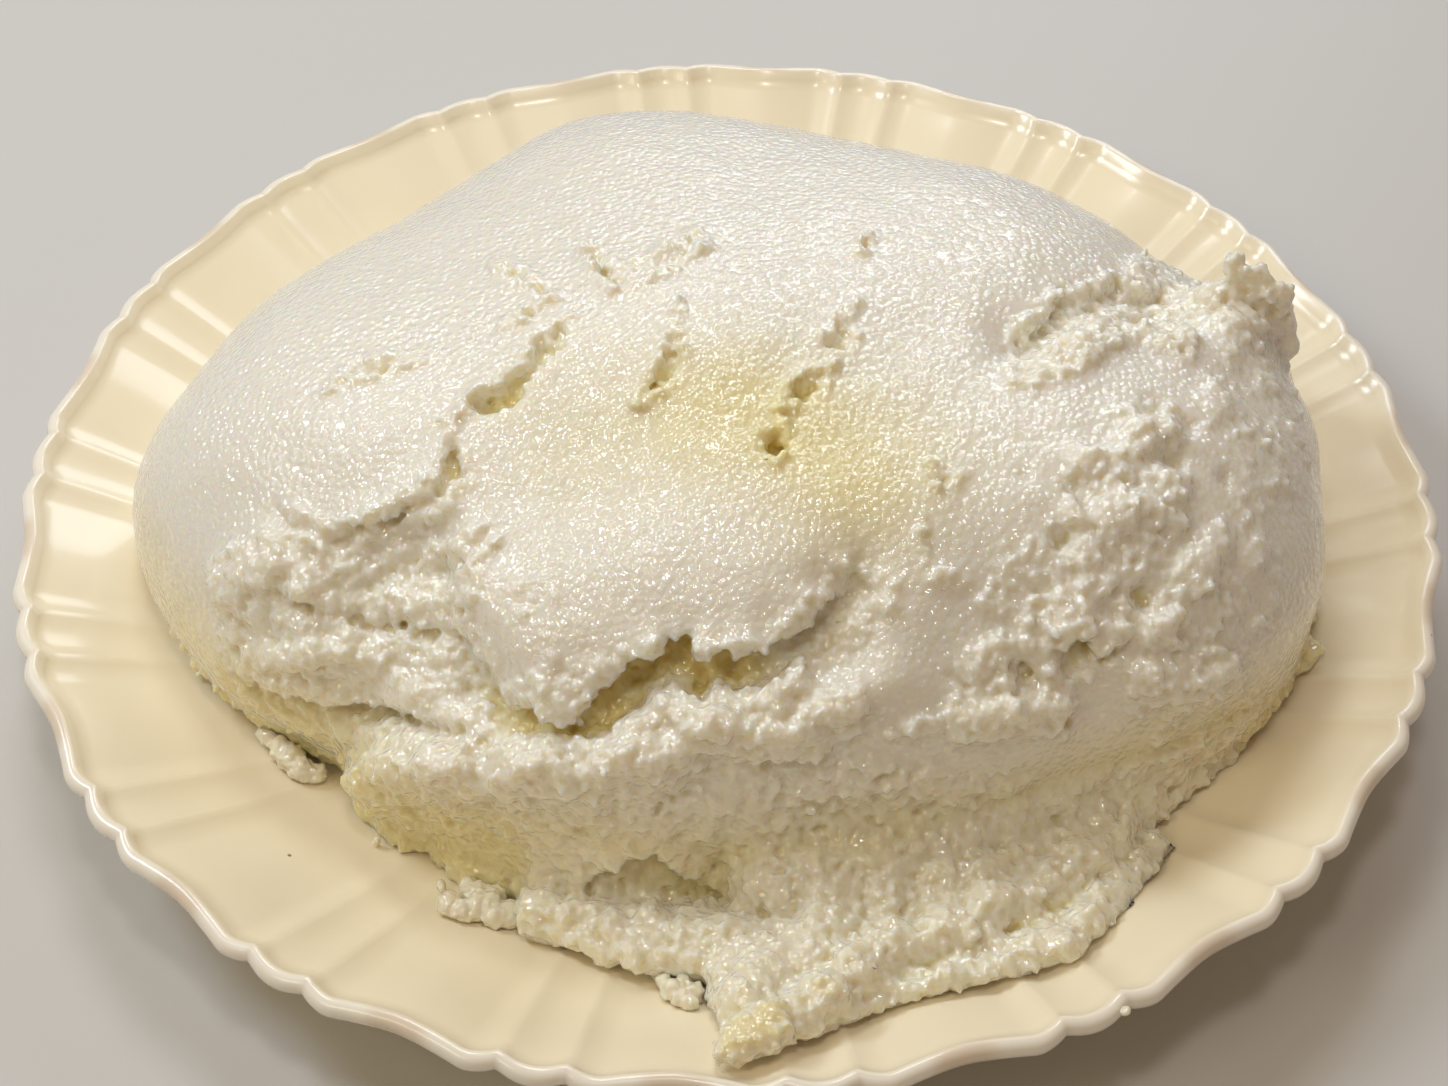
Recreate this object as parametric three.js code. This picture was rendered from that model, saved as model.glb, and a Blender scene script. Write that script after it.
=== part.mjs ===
// A heap of stiff white maize porridge, torn open along its front, served on a cream plate with a fluted rim.
// Millimetres, +Z up. The origin is the middle of the plate's foot, where it stands on the table.
// The torn front of the heap faces -Y, and its long axis lies along X.

import * as THREE from 'three';

const { degToRad, radToDeg, smoothstep, lerp, clamp, euclideanModulo } = THREE.MathUtils;

// ---------------------------------------------------------------- driving dimensions

// Plate: radii and heights of the eating surface, from the flat well out to the rim.
const WELL_RADIUS = 60;
const WELL_HEIGHT = 5;
const RIM_RADIUS = 128.2;
const RIM_HEIGHT = 26;
const BOWL_RINGS = [[76, 6.2], [92, 10.2], [106, 15.6], [118, 21.4]];
const WALL = 3.2;
const LIP_RADIUS = 1.8;
const FOOT_OUTER = 76;
const FOOT_INNER = 68;
const FOOT_RECESS = 1.8;

// Flutes: groups of three rounded lobes with a wide, shallow panel between the groups.
const FLUTE_GROUPS = 18;
const LOBE_PITCH = 4.8;
const LOBE_DEPTH = 1.9;
const LOBE_VALLEY = 0.2;
const FLUTE_DROP = 0.3;
const FLUTE_START = 82;
const FLUTE_FULL = 118;
const FLUTE_TURN = -3.5;
const FLUTE_SAMPLES = [-4.8, -2.4, 0, 2.4, 4.8, 7, 10, 13];

// Heap: plan radius with its swells, the height of its widest line and its crown.
const GAP = 0.35;
const PLAN_RADIUS = 95;
const PLAN_SWELLS = [
  { lobes: 2, size: 10.8, facing: -4 },
  { lobes: 3, size: 4, facing: -24 },
  { lobes: 4, size: 3.2, facing: 0 },
  { lobes: 5, size: 2, facing: -32 },
];
const CROWN_HEIGHT = 77;
const BELT_HEIGHT = 28.5;
const BELT_TILT = 10.5;
const BELT_LOW_SIDE = 125;
const BELT_SAG = 8;
const DOME_ROUND = 0.9;
const SIDES = 96;
const FRONT_CROWDING = 0.3;
const DOME_ROWS = 17;
const BASE_ROWS = 9;

// How far the heap draws in below its widest line, by azimuth in degrees, and where it spreads instead.
const TUCK = [
  [-180, 4], [-145, 5.5], [-138, 5], [-127, 0], [-118, -3.5], [-104, -3],
  [-92, 0], [-60, 1], [-30, 2], [90, 5], [180, 4],
];

// Skirt: the torn rag along the front of the heap. Azimuth in degrees and reach of its foot in millimetres.
const SKIRT_FOOT = [
  [-112, 89], [-106, 99], [-97, 98.5], [-92, 101], [-90, 123.5], [-84, 120.5],
  [-78, 114.5], [-62, 115.5], [-52, 109], [-43, 102], [-33, 104], [-15, 110], [0, 106],
];
const SKIRT_SPAN = [[-110, 0], [-106, 0.9], [-94, 0.9], [-86, 1], [-56, 1], [-40, 0.7], [-28, 0]];
const SKIRT_RIDGE_HEIGHT = 22.5;
const SKIRT_RIDGE_RADIUS = 97;
const SKIRT_RIDGE_BACK = 4;
const SKIRT_GROOVE_HEIGHT = 14.5;
const SKIRT_EDGE = 3;

// Tears, on the working plane of the front: X across, and up a face that leans back by 45 degrees.
const SKIN_EDGE = [[-68, 10], [-47, 16], [-42, -1], [-29, -17], [-14, -7], [5, -8], [20, 7]];
const LIP = [[-62, -28], [-47, -24], [-24, -22], [-6, -17], [12, -15], [24, -13]];
const TERRACE = [[-84, -11], [-66, -7], [-49, -19], [-36, -21]];
const CRACK = [[46, 40], [57, 48], [72, 52], [84, 46]];
const WING = [[84, 46], [100, 47]];
const HOLLOW_DEPTH = 7;
const TERRACE_DEPTH = 3;
const LIP_SWELL = 2.5;
const CRACK_DEPTH = 7;
const WING_SWELL = 7;
const UNEVEN = 0.9;

// Fallen pieces: place on the plate, half sizes and the way they point.
const FALLEN = [
  { name: 'fallen_chunk', radius: 97, azimuth: -115.2, half: [8, 4.2, 3.2], turn: -6, lumps: 3 },
  { name: 'fallen_flake', radius: 96, azimuth: -145, half: [7.4, 3.4, 1.8], turn: -42, lumps: 5 },
  { name: 'fallen_crumb', radius: 107.6, azimuth: -94.3, half: [4.2, 3.1, 2], turn: -35, lumps: 7 },
];
const FALLEN_SIDES = 12;
const FALLEN_ROWS = 7;

// ---------------------------------------------------------------- helpers

// Height read off a line of [place, value] points, level beyond its ends.
function along(points, place) {
  if (place <= points[0][0]) return points[0][1];
  for (let i = 1; i < points.length; i += 1) {
    const [x0, y0] = points[i - 1];
    const [x1, y1] = points[i];
    if (place <= x1) return lerp(y0, y1, (place - x0) / (x1 - x0));
  }
  return points[points.length - 1][1];
}

const EATING_SURFACE = [
  [0, WELL_HEIGHT],
  [WELL_RADIUS, WELL_HEIGHT],
  ...BOWL_RINGS,
  [RIM_RADIUS, RIM_HEIGHT],
];

function plateHeight(radius) {
  return along(EATING_SURFACE, radius);
}

// Distance from a point to an open line on the working plane, positive above the line.
function fromLine(line, x, climb) {
  let nearest = Infinity;
  let side = 1;
  for (let i = 1; i < line.length; i += 1) {
    const start = new THREE.Vector2(...line[i - 1]);
    const run = new THREE.Vector2(...line[i]).sub(start);
    const offset = new THREE.Vector2(x, climb).sub(start);
    const share = clamp(offset.dot(run) / run.lengthSq(), 0, 1);
    const distance = offset.distanceTo(run.clone().multiplyScalar(share));
    if (distance < nearest) {
      nearest = distance;
      side = Math.sign(run.cross(offset)) || 1;
    }
  }
  return nearest * side;
}

// 1 on a line, fading to 0 at the given distance.
function nearLine(line, x, climb, reach) {
  return 1 - smoothstep(Math.abs(fromLine(line, x, climb)), 0, reach);
}

function flatMaterial(color, roughness) {
  return new THREE.MeshStandardMaterial({ color, roughness, metalness: 0 });
}

function namedMesh(name, geometry, material) {
  geometry.computeVertexNormals();
  const mesh = new THREE.Mesh(geometry, material);
  mesh.name = name;
  return mesh;
}

// ---------------------------------------------------------------- plate

// How far the wall stands out at an angle from the middle of its flute group, from 0 to 1.
function lobe(offset) {
  const away = Math.min(Math.abs(offset), 360 / FLUTE_GROUPS - offset);
  if (away <= LOBE_PITCH) {
    return lerp(LOBE_VALLEY, 1, Math.abs(Math.cos((Math.PI * away) / LOBE_PITCH)));
  }
  const panelHalf = 180 / FLUTE_GROUPS - LOBE_PITCH;
  return Math.pow(1 - (away - LOBE_PITCH) / panelHalf, 1.6);
}

function makePlate(material) {
  const bowl = EATING_SURFACE.slice(1);
  const lip = [-1, 0, 1].map((step) => {
    const angle = degToRad(65 - 90 * (step + 1));
    const height = RIM_HEIGHT - LIP_RADIUS * 0.4 + LIP_RADIUS * Math.sin(angle);
    return [RIM_RADIUS + LIP_RADIUS * Math.cos(angle), height];
  });
  const back = BOWL_RINGS.slice(1).reverse().map(([radius, height]) => [radius + WALL * 0.4, height - WALL]);
  const foot = [
    [FOOT_OUTER + 3, 3], [FOOT_OUTER, 0], [FOOT_INNER, 0], [FOOT_INNER - 2, FOOT_RECESS], [0, FOOT_RECESS],
  ];
  const profile = [[0, WELL_HEIGHT], ...bowl.slice(0, -1), ...lip, ...back, ...foot].reverse();
  const sides = FLUTE_GROUPS * FLUTE_SAMPLES.length;
  const plate = new THREE.LatheGeometry(profile.map(([r, z]) => new THREE.Vector2(r, z)), sides);
  const position = plate.attributes.position;
  for (let side = 0; side <= sides; side += 1) {
    const sample = side % sides;
    const offset = FLUTE_SAMPLES[sample % FLUTE_SAMPLES.length];
    const group = Math.floor(sample / FLUTE_SAMPLES.length);
    const angle = degToRad(FLUTE_TURN + (360 / FLUTE_GROUPS) * group + offset);
    profile.forEach(([radius, height], ring) => {
      const bulge = LOBE_DEPTH * lobe(offset) * smoothstep(radius, FLUTE_START, FLUTE_FULL);
      const out = radius + bulge;
      const index = side * profile.length + ring;
      position.setXYZ(index, out * Math.cos(angle), out * Math.sin(angle), height - FLUTE_DROP * bulge);
    });
  }
  return namedMesh('plate', plate, material);
}

// ---------------------------------------------------------------- heap

function planRadius(azimuth) {
  return PLAN_SWELLS.reduce(
    (sum, { lobes, size, facing }) => sum + size * Math.cos(degToRad(lobes * (azimuth - facing))),
    PLAN_RADIUS,
  );
}

function beltHeight(azimuth) {
  const front = Math.max(0, -Math.sin(degToRad(azimuth)));
  return BELT_HEIGHT - BELT_TILT * Math.cos(degToRad(azimuth - BELT_LOW_SIDE)) - BELT_SAG * front * front;
}

// A point of the smooth dome: rise runs from 0 at the widest line to 90 at the crown.
function domePoint(azimuth, rise) {
  const radius = planRadius(azimuth) * Math.pow(Math.max(Math.cos(degToRad(rise)), 0), DOME_ROUND);
  const belt = beltHeight(azimuth);
  const height = belt + (CROWN_HEIGHT - belt) * Math.pow(Math.sin(degToRad(rise)), DOME_ROUND);
  const angle = degToRad(azimuth);
  return new THREE.Vector3(radius * Math.cos(angle), radius * Math.sin(angle), height);
}

// What the tears take away from the dome or add to it at a point, along its outward normal.
function tearRelief({ x, y, z }) {
  const climb = (y + z) / Math.SQRT2;
  const front = smoothstep(z - y, 30, 60);
  const underSkin = -fromLine(SKIN_EDGE, x, climb);
  const aboveLip = fromLine(LIP, x, climb);
  const spanned = smoothstep(x, -72, -60) * (1 - smoothstep(x, 16, 28));
  const hollow = smoothstep(underSkin, -1.5, 3) * smoothstep(aboveLip, -1, 9) * spanned;
  const belowTerrace = smoothstep(-fromLine(TERRACE, x, climb), -1, 3) * smoothstep(aboveLip, 0, 8);
  const terrace = belowTerrace * (1 - smoothstep(x, -46, -34)) * smoothstep(x, -90, -78);
  const lip = nearLine(LIP, x, climb, 7);
  const upper = smoothstep(z, 26, 42);
  const crack = upper * nearLine(CRACK, x, climb, 5);
  const wing = upper * nearLine(WING, x, climb, 9);
  const waves = Math.sin(0.09 * x + 0.05 * climb) + Math.sin(0.13 * climb - 0.04 * x + 1);
  return UNEVEN * waves - CRACK_DEPTH * crack + WING_SWELL * wing
    + front * (LIP_SWELL * lip - HOLLOW_DEPTH * hollow - TERRACE_DEPTH * terrace);
}

function tornPoint(azimuth, rise) {
  const point = domePoint(azimuth, rise);
  const step = 1;
  const round = domePoint(azimuth + step, rise).sub(domePoint(azimuth - step, rise));
  const up = domePoint(azimuth, Math.min(rise + step, 90)).sub(domePoint(azimuth, Math.max(rise - step, 0)));
  const normal = rise > 89 ? new THREE.Vector3(0, 0, 1) : round.cross(up).normalize();
  return point.addScaledVector(normal, tearRelief(point));
}

// The outline of the heap below its widest line, at one azimuth, down to its edge on the plate.
function basePoints(azimuth) {
  const belt = tornPoint(azimuth, 0);
  const beltRadius = Math.hypot(belt.x, belt.y);
  const edge = beltRadius - along(TUCK, azimuth);
  const skirt = along(SKIRT_SPAN, azimuth);
  const foot = Math.max(along(SKIRT_FOOT, azimuth), edge);
  const reach = lerp(edge, foot, Math.min(1, skirt * 2));
  const floor = plateHeight(reach) + GAP;
  const edgeFloor = plateHeight(edge) + GAP;
  const plain = (share) => [lerp(beltRadius, edge, share * share), lerp(belt.z, edgeFloor + 1, share)];
  const ridgeRadius = Math.min(SKIRT_RIDGE_RADIUS, reach - SKIRT_RIDGE_BACK);
  const torn = [
    [beltRadius - 0.5, lerp(belt.z, SKIRT_GROOVE_HEIGHT, 0.5)],
    [edge, SKIRT_GROOVE_HEIGHT],
    [lerp(edge, ridgeRadius, 0.3), SKIRT_GROOVE_HEIGHT + 1],
    [ridgeRadius, SKIRT_RIDGE_HEIGHT],
    [lerp(ridgeRadius, reach, 0.6), lerp(SKIRT_RIDGE_HEIGHT, floor + SKIRT_EDGE, 0.5)],
    [reach, floor + SKIRT_EDGE * 0.6],
  ];
  const shares = [0.35, 0.6, 0.72, 0.84, 0.92, 1];
  const outline = torn.map(([radius, height], i) => {
    const [plainRadius, plainHeight] = plain(shares[i]);
    return [lerp(plainRadius, radius, skirt), lerp(plainHeight, height, skirt)];
  });
  const rest = reach - 1.5;
  const inner = (rest + WELL_RADIUS) / 2;
  const under = [rest, inner, WELL_RADIUS].map((radius) => [radius, plateHeight(radius) + GAP]);
  return [...outline, ...under];
}

function makeHeap(material) {
  const rows = DOME_ROWS + BASE_ROWS + 1;
  const heap = new THREE.SphereGeometry(1, SIDES, rows);
  const position = heap.attributes.position;
  for (let side = 0; side <= SIDES; side += 1) {
    const turn = ((side % SIDES) / SIDES) * 360 - 180;
    const azimuth = turn - radToDeg(FRONT_CROWDING) * Math.cos(degToRad(turn));
    const facing = euclideanModulo(azimuth + 180, 360) - 180;
    const base = basePoints(facing);
    for (let row = 0; row <= rows; row += 1) {
      const index = row * (SIDES + 1) + side;
      if (row === 0) {
        const crown = tornPoint(0, 90);
        position.setXYZ(index, crown.x, crown.y, crown.z);
      } else if (row <= DOME_ROWS) {
        const point = tornPoint(facing, 90 * (1 - row / DOME_ROWS));
        position.setXYZ(index, point.x, point.y, point.z);
      } else if (row < rows) {
        const [radius, height] = base[row - DOME_ROWS - 1];
        const angle = degToRad(facing);
        position.setXYZ(index, radius * Math.cos(angle), radius * Math.sin(angle), height);
      } else {
        position.setXYZ(index, 0, 0, WELL_HEIGHT + GAP);
      }
    }
  }
  return namedMesh('ugali_mound', heap, material);
}

// ---------------------------------------------------------------- fallen pieces

// A lumpy scrap of porridge lying on the sloping bowl of the plate.
function makeFallen({ name, radius, azimuth, half, turn, lumps }, material) {
  const scrap = new THREE.SphereGeometry(1, FALLEN_SIDES, FALLEN_ROWS);
  const position = scrap.attributes.position;
  const place = new THREE.Vector2(radius, 0).rotateAround(new THREE.Vector2(), degToRad(azimuth));
  const point = new THREE.Vector3();
  for (let index = 0; index < position.count; index += 1) {
    const side = (index % (FALLEN_SIDES + 1)) % FALLEN_SIDES;
    const row = Math.floor(index / (FALLEN_SIDES + 1));
    const round = (2 * Math.PI * side) / FALLEN_SIDES;
    const down = (Math.PI * row) / FALLEN_ROWS;
    const waves = Math.sin(3 * round + lumps) + 0.6 * Math.sin(5 * round + 2 * lumps);
    const lump = 1 + 0.14 * Math.sin(down) * waves;
    point.set(
      half[0] * lump * Math.sin(down) * Math.cos(round),
      half[1] * lump * Math.sin(down) * Math.sin(round),
      half[2] * (Math.max(Math.cos(down), -0.6) + 0.6),
    );
    point.applyAxisAngle(new THREE.Vector3(0, 0, 1), degToRad(turn));
    point.x += place.x;
    point.y += place.y;
    point.z += plateHeight(Math.hypot(point.x, point.y)) + GAP;
    position.setXYZ(index, point.x, point.y, point.z);
  }
  return namedMesh(name, scrap, material);
}

// ---------------------------------------------------------------- the object

const glaze = () => flatMaterial(0xf0e0c0, 0.18);
const porridge = () => flatMaterial(0xf2ece2, 0.45);

const ugaliOnPlate = new THREE.Group();
ugaliOnPlate.add(makePlate(glaze()));
ugaliOnPlate.add(makeHeap(porridge()));
FALLEN.forEach((piece) => ugaliOnPlate.add(makeFallen(piece, porridge())));

export default ugaliOnPlate;
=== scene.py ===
"""A heap of ugali, stiff white maize porridge, torn open along its front, on a cream plate with a fluted rim.

Metres, +Z up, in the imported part's own frame: the plate's foot stands at z = 0 and the torn front faces -Y.
Sizes below are in millimetres unless they say otherwise, and MM turns them into metres.
"""

import math

import bmesh
import bpy
import numpy as np
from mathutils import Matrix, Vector, noise
from mathutils.bvhtree import BVHTree


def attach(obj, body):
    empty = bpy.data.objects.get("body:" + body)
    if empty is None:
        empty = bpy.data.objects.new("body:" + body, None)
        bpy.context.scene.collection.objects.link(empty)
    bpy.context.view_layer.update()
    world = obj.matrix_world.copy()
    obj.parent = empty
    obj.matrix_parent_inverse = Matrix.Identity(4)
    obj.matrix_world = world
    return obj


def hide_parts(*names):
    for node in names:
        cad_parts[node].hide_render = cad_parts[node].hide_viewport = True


MM = 0.001

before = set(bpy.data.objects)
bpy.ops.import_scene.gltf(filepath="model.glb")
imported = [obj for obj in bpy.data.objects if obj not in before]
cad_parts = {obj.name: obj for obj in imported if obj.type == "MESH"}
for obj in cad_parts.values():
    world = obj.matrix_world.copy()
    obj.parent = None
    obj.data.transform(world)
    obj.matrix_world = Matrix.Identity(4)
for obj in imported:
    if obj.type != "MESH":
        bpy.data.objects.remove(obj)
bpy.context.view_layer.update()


# ---------------------------------------------------------------- shapes

def new_object(name, mesh):
    data = bpy.data.meshes.new(name)
    mesh.to_mesh(data)
    mesh.free()
    thing = bpy.data.objects.new(name, data)
    bpy.context.scene.collection.objects.link(thing)
    return thing


def read_rows(items, field):
    """A field of three numbers of each item, as an array with a row for each."""
    flat = np.empty(len(items) * 3)
    items.foreach_get(field, flat)
    return flat.reshape(-1, 3)


def points_of(thing):
    """The object's vertices in millimetres."""
    return read_rows(thing.data.vertices, "co") / MM


def outward(thing):
    return read_rows(thing.data.vertex_normals, "vector")


def move_points(thing, points):
    thing.data.vertices.foreach_set("co", (points * MM).ravel())
    thing.data.update()


def keep_layer(thing, name, values):
    """Stores a number from 0 to 1 at each point, for the finish to read."""
    layer = thing.data.attributes.new(name, "FLOAT", "POINT")
    layer.data.foreach_set("value", np.clip(values, 0, 1).astype(np.float32))


def finished_mesh(thing):
    """A new mesh of what the object's modifiers make of it."""
    return bpy.data.meshes.new_from_object(thing.evaluated_get(bpy.context.evaluated_depsgraph_get()))


def apply_modifiers(thing):
    first, final = thing.data, finished_mesh(thing)
    thing.modifiers.clear()
    thing.data = final
    bpy.data.meshes.remove(first)


def remesh(thing, size, smoothing=0):
    cover = thing.modifiers.new("even_mesh", "REMESH")
    cover.mode = "VOXEL"
    cover.voxel_size = size * MM
    if smoothing:
        add_smoothing(thing, smoothing)
    apply_modifiers(thing)


def add_smoothing(thing, rounds):
    thing.modifiers.new("calm", "SMOOTH").iterations = rounds


def smoothly(value, low, high):
    share = np.clip((value - low) / (high - low), 0, 1)
    return share * share * (3 - 2 * share)


def between(value, low, high, soft):
    return smoothly(value, low - soft, low + soft) * (1 - smoothly(value, high - soft, high + soft))


def hump(offset, width):
    """A bell of height 1 over offsets of about width either way."""
    return np.exp(-(offset / width) ** 2)


def radius_of(points):
    return np.hypot(points[:, 0], points[:, 1])


def azimuth_of(points):
    return np.degrees(np.arctan2(points[:, 1], points[:, 0]))


def finish_piece(thing, material, slot, *nodes):
    thing.data.materials.clear()
    thing.data.materials.append(material)
    thing.data.shade_smooth()
    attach(thing, "root")
    if nodes:
        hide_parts(*nodes)


# ---------------------------------------------------------------- finishes

def fill_sockets(node, sockets):
    for name, value in sockets.items():
        node.inputs[name].default_value = value


def new_material(name, sockets):
    material = bpy.data.materials.new(name)
    material.use_nodes = True
    fill_sockets(shader_of(material), sockets)
    return material


def shader_of(material):
    return material.node_tree.nodes["Principled BSDF"]


def link(material, source, socket):
    material.node_tree.links.new(source, socket)


def add_node(material, kind, sockets=None):
    node = material.node_tree.nodes.new(kind)
    fill_sockets(node, sockets or {})
    return node


def add_texture(material, kind, sockets):
    """A texture laid out on the object's own coordinates."""
    texture = add_node(material, kind, sockets)
    place = add_node(material, "ShaderNodeTexCoord")
    link(material, place.outputs["Object"], texture.inputs["Vector"])
    return texture


def add_ramp(material, share, stops):
    """The colour for a share from 0 to 1, by (position, colour) stops."""
    ramp = add_node(material, "ShaderNodeValToRGB")
    elements = ramp.color_ramp.elements
    for element, (position, colour) in zip((elements[0], elements[1]), (stops[0], stops[-1])):
        element.position, element.color = position, colour
    for position, colour in stops[1:-1]:
        elements.new(position).color = colour
    link(material, share, ramp.inputs["Fac"])
    return ramp.outputs["Color"]


def map_range(material, value, sockets, kind="LINEAR"):
    span = add_node(material, "ShaderNodeMapRange", sockets)
    span.interpolation_type = kind
    link(material, value, span.inputs["Value"])
    return span.outputs["Result"]


def read_layer(material, name):
    layer = add_node(material, "ShaderNodeAttribute")
    layer.attribute_name = name
    return layer.outputs["Fac"]


def blend_colours(material, share, under, over):
    mix = add_node(material, "ShaderNodeMix")
    mix.data_type = "RGBA"
    mix.inputs["B"].default_value = over
    link(material, share, mix.inputs["Factor"])
    link(material, under, mix.inputs["A"])
    return mix.outputs["Result"]


def join_numbers(material, operation, first, second):
    """Adds or multiplies two outputs."""
    step = add_node(material, "ShaderNodeMath")
    step.operation = operation
    link(material, first, step.inputs[0])
    link(material, second, step.inputs[1])
    return step.outputs["Value"]


def add_bump(material, height, rise, *sockets):
    """Relief of so many millimetres on the shader's sockets."""
    bump = add_node(material, "ShaderNodeBump", {"Distance": rise * MM})
    link(material, height, bump.inputs["Height"])
    for socket in sockets:
        link(material, bump.outputs["Normal"], shader_of(material).inputs[socket])


# ---------------------------------------------------------------- camera, floor and light

# Places and sizes in this part are in metres.
CAMERA_PLACE = (0, -0.343954, 0.374575)
CAMERA_TARGET = (-0.0007, 0.00484, 0.00524)
CAMERA_NEAR = 0.01
CAMERA_LENS = 65.04  # millimetres, as is the sensor's width
SENSOR_WIDTH = 36

LIGHT_TARGET = (0, 0, 0.04)
# Square softboxes: name, place, side, watts and tint.
SOFTBOXES = [
    ("left_softbox", (-0.6, 0.2, 0.72), 0.25, 2.8, (0.8, 0.9, 1)),
    ("top_softbox", (-0.1, 0.42, 0.83), 0.25, 1.8, (0.97, 1, 1)),
    ("back_softbox", (0.2, 0.8, 0.5), 0.4, 1.8, (0.8, 0.9, 1)),
    ("over_softbox", (0, -0.2, 0.92), 0.12, 1.05, (1, 0.95, 0.9)),
    ("front_fill", (-0.5, -0.4, 0.7), 0.25, 1, (1, 0.9, 0.6)),
]
ROOM_TINT = (1, 0.74, 0.5, 1)
ROOM_STRENGTH = 0.25

FLOOR_HALF_WIDTH = 3
FLOOR_TINT = (0.62, 0.61, 0.6, 1)
FLOOR_ROUGHNESS = 0.55


def aim(place, target):
    return (Vector(target) - Vector(place)).to_track_quat("-Z", "Y").to_euler()


def add_camera():
    camera = bpy.data.objects.new("camera", bpy.data.cameras.new("camera"))
    bpy.context.scene.collection.objects.link(camera)
    camera.data.lens = CAMERA_LENS
    camera.data.sensor_width = SENSOR_WIDTH
    camera.data.clip_start = CAMERA_NEAR
    camera.location = CAMERA_PLACE
    camera.rotation_euler = aim(CAMERA_PLACE, CAMERA_TARGET)
    bpy.context.scene.camera = camera


def add_softbox(name, place, side, watts, tint):
    light = bpy.data.lights.new(name, "AREA")
    light.shape = "SQUARE"
    light.size = side
    light.energy = watts
    light.color = tint
    lamp = bpy.data.objects.new(name, light)
    bpy.context.scene.collection.objects.link(lamp)
    lamp.location = place
    lamp.rotation_euler = aim(place, LIGHT_TARGET)


def add_studio():
    world = bpy.data.worlds.new("studio")
    bpy.context.scene.world = world
    world.use_nodes = True
    fill_sockets(world.node_tree.nodes["Background"], {"Color": ROOM_TINT, "Strength": ROOM_STRENGTH})
    for softbox in SOFTBOXES:
        add_softbox(*softbox)
    bpy.context.scene.view_settings.view_transform = "Standard"


def add_floor():
    mesh = bmesh.new()
    bmesh.ops.create_grid(mesh, x_segments=1, y_segments=1, size=FLOOR_HALF_WIDTH)
    floor = new_object("floor", mesh)
    floor.data.materials.append(
        new_material("pale_floor", {"Base Color": FLOOR_TINT, "Roughness": FLOOR_ROUGHNESS}))


# ---------------------------------------------------------------- plate

# Radius and height along the plate's wall: its eating surface, and the ring that it stands on.
EATING_SURFACE = [(0, 5), (60, 5), (76, 6.2), (92, 10.2), (106, 15.6), (118, 21.4), (128.2, 26)]
FOOT_RING = [(78, 2.1), (76.6, 0.4), (75.6, 0), (68.4, 0), (67.4, 0.4), (66.4, 1.8), (0, 1.8)]
LEVEL_WELL = 60
INNER_SLOPE = (64, 126.6)
OUTER_SLOPE = (126.2, 82)
WALL = 3.2
LIP_MIDDLE = (128.2, 25.3)
LIP_RADIUS = 1.8
LIP_ARC = (115, -95)  # degrees, from inside over the top
WALL_LAG = 0.4  # how far further in the outer wall reads its height, as a share of the wall
PLATE_STEPS = 720
WELL_RINGS, INNER_RINGS, LIP_RINGS, OUTER_RINGS = 6, 26, 11, 14
SOFTENINGS = 3
WELD = 0.01

# The rim's lobes stand in groups of three, a pitch apart, and the wall falls in between groups. Angles in degrees.
FLUTE_GROUPS = 18
FLUTE_TURN = -3.5
LOBE_PITCH = 4.8
LOBE_DEPTH = 1.9
LOBE_VALLEY = 0.2
LOBE_ROUNDNESS = 0.8
LOBE_FALL = 1.6
FLUTE_DROP = 0.3  # how far a lobe's tip sinks, as a share of how far it stands out
FLUTED_BAND = (82, 118)  # radii where the flutes start and are full
GLAZED_EDGE = (127, 128.6)  # radii where the paler edge starts and is full
EDGE_HEIGHT = 21
DIP_STRENGTH = 0.4

CREAM = [(0.35, (0.94, 0.84, 0.62, 1)), (0.65, (0.95, 0.86, 0.66, 1))]
EDGE_CREAM = (0.94, 0.89, 0.79, 1)
DIP_BROWN = (0.62, 0.42, 0.24, 1)
SPECK_BROWN = (0.35, 0.22, 0.1, 1)
SPECK_SIZE = {"From Min": 0.045, "From Max": 0.03}  # as a share of a cell
SPECKLESS = 0.8  # share of the cells that have no speck
GLAZE_ROUGHNESS = {"To Min": 0.2, "To Max": 0.3}
GLAZE_WAVES = 0.35


def plate_height(radius):
    rings, heights = zip(*EATING_SURFACE)
    return np.interp(radius, rings, heights)


def height_above_plate(points):
    return points[:, 2] - plate_height(radius_of(points))


def keep_off_plate(thing, clearance):
    points = points_of(thing)
    points[:, 2] = np.maximum(points[:, 2], plate_height(radius_of(points)) + clearance)
    move_points(thing, points)


def lobe(offset):
    """How far the wall stands out at an angle from the middle of its flute group, from 0 to 1."""
    panel = 180 / FLUTE_GROUPS
    away = np.abs((offset + panel) % (2 * panel) - panel)
    lobes = LOBE_VALLEY + (1 - LOBE_VALLEY) * np.abs(np.cos(math.pi * away / LOBE_PITCH)) ** LOBE_ROUNDNESS
    fall = np.clip(1 - (away - LOBE_PITCH) / (panel - LOBE_PITCH), 0, 1) ** LOBE_FALL
    return np.where(away <= LOBE_PITCH, lobes, fall)


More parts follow.
